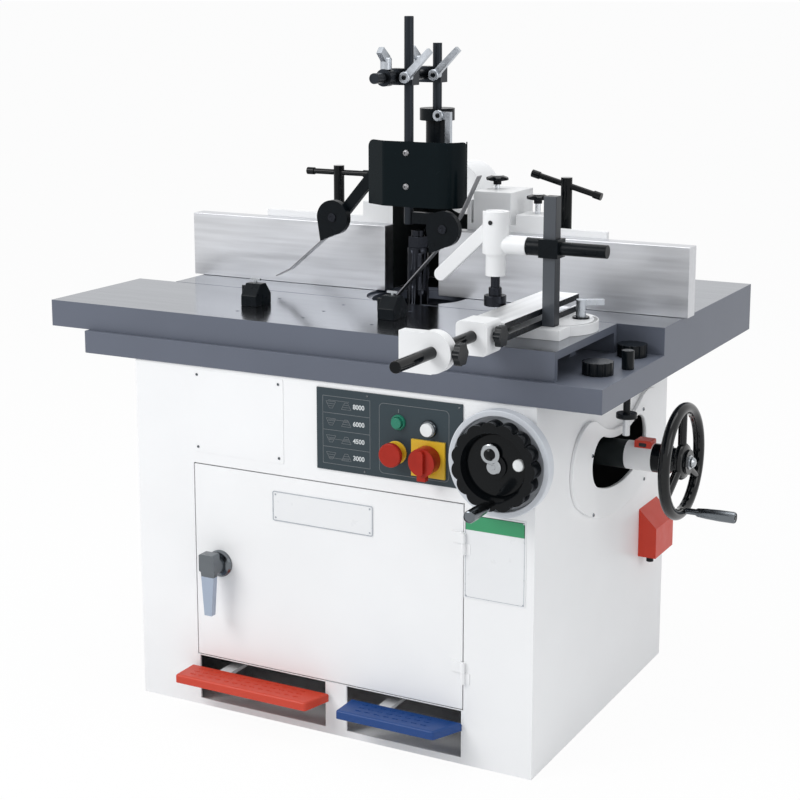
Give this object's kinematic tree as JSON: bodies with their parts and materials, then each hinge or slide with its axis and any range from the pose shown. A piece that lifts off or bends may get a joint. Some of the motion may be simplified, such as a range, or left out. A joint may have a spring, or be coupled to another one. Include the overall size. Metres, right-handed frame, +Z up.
{
  "type": "spindle moulder",
  "caption": "Floor-standing spindle moulder: steel cabinet, cast table, tilting rising spindle, sliding table with mitre fence and clamp, split fence with hood, guard and hold-downs.",
  "frame": {"origin": "on the floor under the middle of the cabinet", "axes": "+X to the operator's right, +Y to the back of the machine, +Z up"},
  "size_m": [1.414, 1.312, 1.455],
  "materials": {
    "cabinet_paint": "satin",
    "panel_black": "satin",
    "pedal_red": "semi gloss",
    "pedal_blue": "semi gloss",
    "box_red": "semi gloss",
    "table_iron": "painted sides, ground top",
    "fence_metal": "brushed",
    "white_casting": "painted",
    "black_casting": "painted",
    "black_plastic": "moulded",
    "button_green": "moulded",
    "button_red": "moulded",
    "dark_steel": "blackened",
    "bright_steel": "turned",
    "lever_grey": "cast",
    "machine_iron": "primed",
    "motor_grey": "satin",
    "belt_rubber": "ribbed"
  },
  "bodies": {
    "frame": {"cabinet_front": "cabinet_paint", "cabinet_left": "cabinet_paint", "cabinet_right": "cabinet_paint", "cabinet_back": "cabinet_paint", "cabinet_base": "cabinet_paint", "slot_cover": "cabinet_paint", "terminal_box": "box_red", "control_panel": "panel_black", "pedal_shaft": "bright_steel", "tilt_housing": "cabinet_paint", "table": "table_iron", "trunnion_guides": "machine_iron"},
    "door_leaf": {"door": "cabinet_paint"},
    "latch": {"door_latch": "lever_grey"},
    "brake": {"brake_pedal": "pedal_red"},
    "lock": {"lock_pedal": "pedal_blue"},
    "start": {"start_button": "button_green"},
    "stop": {"stop_button": "button_red"},
    "isolator": {"isolator_knob": "button_red"},
    "tilt_crank": {"tilt_wheel": "black_casting"},
    "tilt_handle": {"tilt_grip": "black_plastic"},
    "knob_front": {"ledge_knob_front": "black_plastic"},
    "knob_back": {"ledge_knob_back": "black_plastic"},
    "plunger": {"ledge_pin": "dark_steel"},
    "carriage_table": {"sliding_table": "table_iron", "stop_blocks": "black_casting"},
    "tilting_unit": {"trunnion": "machine_iron", "height_tube": "white_casting"},
    "height_crank": {"height_wheel": "black_casting"},
    "height_handle": {"height_grip": "black_plastic"},
    "screw": {"lift_screw": "bright_steel"},
    "spindle_unit": {"carriage": "machine_iron", "motor": "motor_grey", "belt": "belt_rubber"},
    "spindle": {"arbor": "bright_steel", "arbor_stack": "bright_steel", "spindle_pulley": "machine_iron"},
    "motor_rotor": {"motor_pulley": "machine_iron"},
    "fence": {"fence_hood": "white_casting", "mast_sleeve": "black_casting", "star_knobs": "black_plastic"},
    "left_fence": {"fence_left": "fence_metal"},
    "right_fence": {"fence_right": "fence_metal"},
    "left_handle": {"t_handle_left": "dark_steel"},
    "right_handle": {"t_handle_right": "dark_steel"},
    "mast": {"guard_mast": "dark_steel"},
    "bar": {"cross_bar": "dark_steel"},
    "guard": {"guard_post": "dark_steel", "guard_shield": "black_casting", "hold_downs": "black_casting", "hold_strips": "bright_steel"},
    "mitre": {"mitre_base": "white_casting", "mitre_bar": "fence_metal", "clamp_post": "dark_steel"},
    "rod": {"stop_rod": "dark_steel"},
    "flag": {"stop_plate": "white_casting"},
    "clamp": {"clamp_arm": "black_casting", "clamp_body": "white_casting"},
    "clamp_handle": {"clamp_lever": "white_casting"},
    "clamp_foot": {"clamp_stem": "bright_steel"}
  },
  "joints": [
    {"name": "door_open", "type": "hinge", "parent": "frame", "child": "door_leaf", "pos_m": [0.3125, -0.3727, 0.325], "axis": [0, 0, 1], "range_deg": [0, 105]},
    {"name": "latch_turn", "type": "hinge", "parent": "door_leaf", "child": "latch", "pos_m": [-0.255, -0.38, 0.326], "axis": [0, 1, 0], "range_deg": [-90, 0]},
    {"name": "brake_press", "type": "hinge", "parent": "frame", "child": "brake", "pos_m": [-0.246, -0.18, 0.088], "axis": [1, 0, 0], "range_deg": [0, 10], "stiffness_Nm_per_rad": 45, "springref_deg": -10.31},
    {"name": "lock_press", "type": "hinge", "parent": "frame", "child": "lock", "pos_m": [0.138, -0.18, 0.088], "axis": [1, 0, 0], "range_deg": [0, 10], "stiffness_Nm_per_rad": 45, "springref_deg": -10.31},
    {"name": "start_press", "type": "slide", "parent": "frame", "child": "start", "axis": [0, 1, 0], "range_m": [0, 0.004], "stiffness_N_per_m": 800, "springref_m": -0.002},
    {"name": "stop_press", "type": "slide", "parent": "frame", "child": "stop", "axis": [0, 1, 0], "range_m": [0, 0.006], "stiffness_N_per_m": 800, "springref_m": -0.002},
    {"name": "isolator_turn", "type": "hinge", "parent": "frame", "child": "isolator", "pos_m": [0.2365, -0.38, 0.617], "axis": [0, 1, 0], "range_deg": [0, 90]},
    {"name": "tilt_wheel_turn", "type": "hinge", "parent": "frame", "child": "tilt_crank", "pos_m": [0.398, -0.4, 0.635], "axis": [0, -1, 0], "range_deg": [-720, 720]},
    {"name": "tilt_grip_spin", "type": "hinge", "parent": "tilt_crank", "child": "tilt_handle", "pos_m": [0.398, -0.48, 0.567], "axis": [0, -1, 0], "continuous": true},
    {"name": "knob_front_turn", "type": "hinge", "parent": "frame", "child": "knob_front", "pos_m": [0.534, -0.253, 0.8], "axis": [0, 0, 1], "continuous": true},
    {"name": "knob_back_turn", "type": "hinge", "parent": "frame", "child": "knob_back", "pos_m": [0.534, -0.068, 0.8], "axis": [0, 0, 1], "continuous": true},
    {"name": "plunger_lift", "type": "slide", "parent": "frame", "child": "plunger", "axis": [0, 0, 1], "range_m": [0, 0.02]},
    {"name": "table_slide", "type": "slide", "parent": "frame", "child": "carriage_table", "axis": [1, 0, 0], "range_m": [-0.28, 0.012]},
    {"name": "spindle_tilt", "type": "hinge", "parent": "frame", "child": "tilting_unit", "pos_m": [-0.012, 0.06, 0.85], "axis": [1, 0, 0], "range_deg": [-18, 18]},
    {"name": "height_wheel_turn", "type": "hinge", "parent": "tilting_unit", "child": "height_crank", "pos_m": [0.6, 0.04, 0.56], "axis": [1, 0, 0], "range_deg": [-1980, 270]},
    {"name": "height_grip_spin", "type": "hinge", "parent": "height_crank", "child": "height_handle", "pos_m": [0.68, 0.04, 0.456], "axis": [1, 0, 0], "continuous": true},
    {"name": "lift_screw_turn", "type": "hinge", "parent": "tilting_unit", "child": "screw", "pos_m": [-0.012, 0.135, 0.54], "axis": [0, 0, 1], "range_deg": [-1980, 270]},
    {"name": "spindle_rise", "type": "slide", "parent": "tilting_unit", "child": "spindle_unit", "axis": [0, 0, 1], "range_m": [-0.11, 0.015]},
    {"name": "spindle_spin", "type": "hinge", "parent": "spindle_unit", "child": "spindle", "pos_m": [-0.012, 0.06, 0.6], "axis": [0, 0, 1], "continuous": true},
    {"name": "motor_spin", "type": "hinge", "parent": "spindle_unit", "child": "motor_rotor", "pos_m": [-0.29, 0.06, 0.48], "axis": [0, 0, 1], "continuous": true},
    {"name": "fence_depth", "type": "slide", "parent": "frame", "child": "fence", "axis": [0, 1, 0], "range_m": [-0.01, 0.05]},
    {"name": "fence_left_slide", "type": "slide", "parent": "fence", "child": "left_fence", "axis": [1, 0, 0], "range_m": [-0.05, 0.05]},
    {"name": "fence_right_slide", "type": "slide", "parent": "fence", "child": "right_fence", "axis": [1, 0, 0], "range_m": [-0.008, 0.05]},
    {"name": "handle_left_turn", "type": "hinge", "parent": "fence", "child": "left_handle", "pos_m": [-0.302, 0.22, 0.95], "axis": [0, 0, 1], "range_deg": [-60, 60]},
    {"name": "handle_right_turn", "type": "hinge", "parent": "fence", "child": "right_handle", "pos_m": [0.269, 0.22, 0.95], "axis": [0, 0, 1], "range_deg": [-60, 60]},
    {"name": "mast_rise", "type": "slide", "parent": "fence", "child": "mast", "axis": [0, 0, 1], "range_m": [0, 0.08]},
    {"name": "bar_reach", "type": "slide", "parent": "mast", "child": "bar", "axis": [0, 1, 0], "range_m": [-0.03, 0]},
    {"name": "guard_rise", "type": "slide", "parent": "bar", "child": "guard", "axis": [0, 0, 1], "range_m": [0, 0.08]},
    {"name": "mitre_swivel", "type": "hinge", "parent": "carriage_table", "child": "mitre", "pos_m": [0.398, -0.145, 0.86], "axis": [0, 0, 1], "range_deg": [-20, 35]},
    {"name": "rod_slide", "type": "slide", "parent": "mitre", "child": "rod", "axis": [0, 1, 0], "range_m": [-0.08, 0.05]},
    {"name": "flag_slide", "type": "slide", "parent": "rod", "child": "flag", "axis": [0, 1, 0], "range_m": [-0.1, 0.07]},
    {"name": "clamp_rise", "type": "slide", "parent": "mitre", "child": "clamp", "axis": [0, 0, 1], "range_m": [-0.03, 0.06]},
    {"name": "clamp_lever_turn", "type": "hinge", "parent": "clamp", "child": "clamp_handle", "pos_m": [0.304, -0.22, 1.066], "axis": [0, 1, 0], "range_deg": [0, 70]},
    {"name": "clamp_foot_slide", "type": "slide", "parent": "clamp", "child": "clamp_foot", "axis": [0, 0, 1], "range_m": [0, 0.0101]}
  ],
  "couplings": [
    {"joint": "tilt_wheel_turn", "follows": "spindle_tilt", "ratio": 40},
    {"joint": "height_wheel_turn", "follows": "spindle_rise", "rad_per_m": 314.16},
    {"joint": "lift_screw_turn", "follows": "spindle_rise", "rad_per_m": 314.16},
    {"joint": "motor_spin", "follows": "spindle_spin", "ratio": 0.6667},
    {"joint": "clamp_foot_slide", "follows": "clamp_lever_turn", "m_per_rad": 0.0082}
  ]
}
